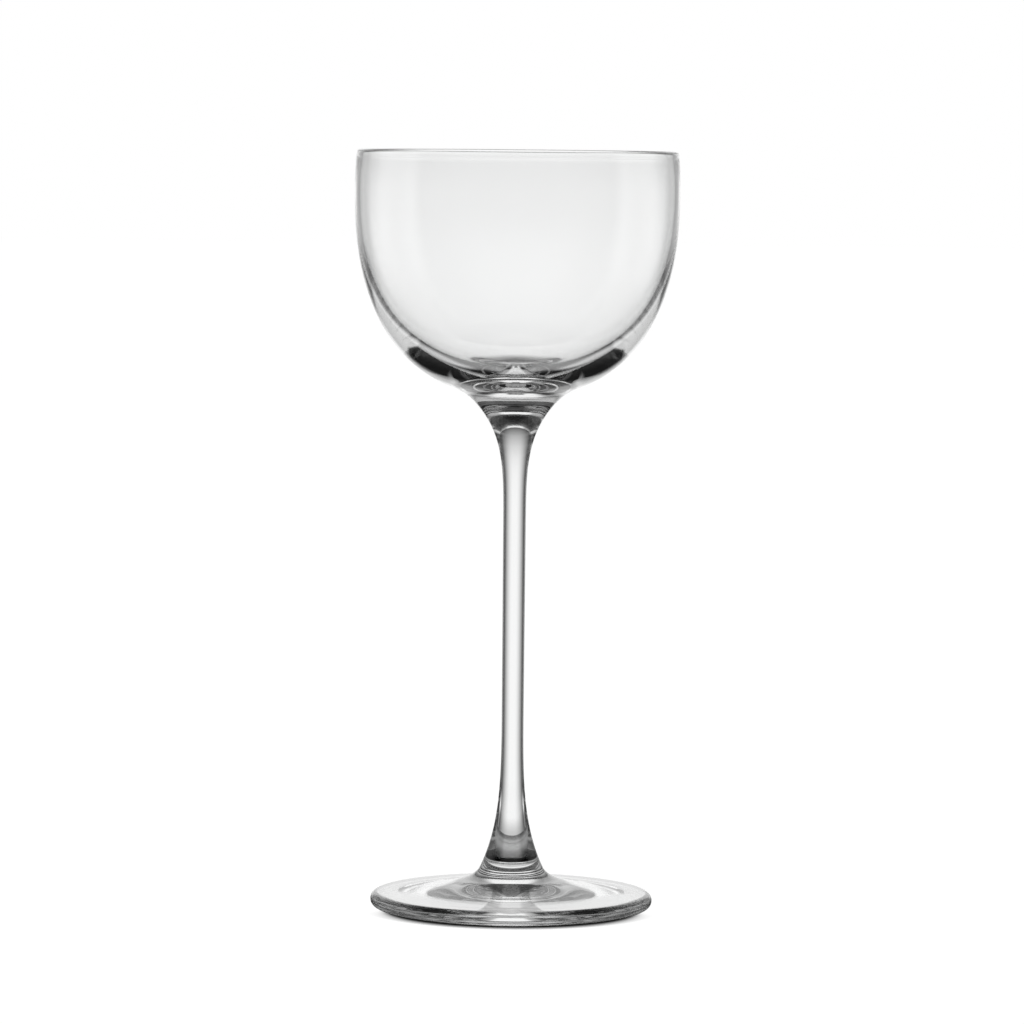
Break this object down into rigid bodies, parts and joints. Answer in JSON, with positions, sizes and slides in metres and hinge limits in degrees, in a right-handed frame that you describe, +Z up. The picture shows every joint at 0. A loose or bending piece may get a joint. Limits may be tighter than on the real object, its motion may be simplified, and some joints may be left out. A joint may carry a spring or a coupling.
{
  "type": "stemmed cocktail glass",
  "caption": "Clear stemmed cocktail glass with a deep rounded bowl drawn in a little at the rim, a slim stem flared at both ends and a round sloping foot.",
  "frame": {"origin": "centre of the foot's standing ring, on the table", "axes": "+Z up along the axis of the stem; X and Y are alike, because every piece is turned about Z"},
  "size_m": [0.0728, 0.0728, 0.17],
  "materials": {
    "bowl_glass": "clear blown glass, fire polished rim",
    "stem_glass": "clear drawn glass, smooth",
    "foot_glass": "clear pressed glass, fire polished edge"
  },
  "bodies": {
    "root": {"bowl": "bowl_glass", "stem": "stem_glass", "foot": "foot_glass"}
  },
  "joints": []
}
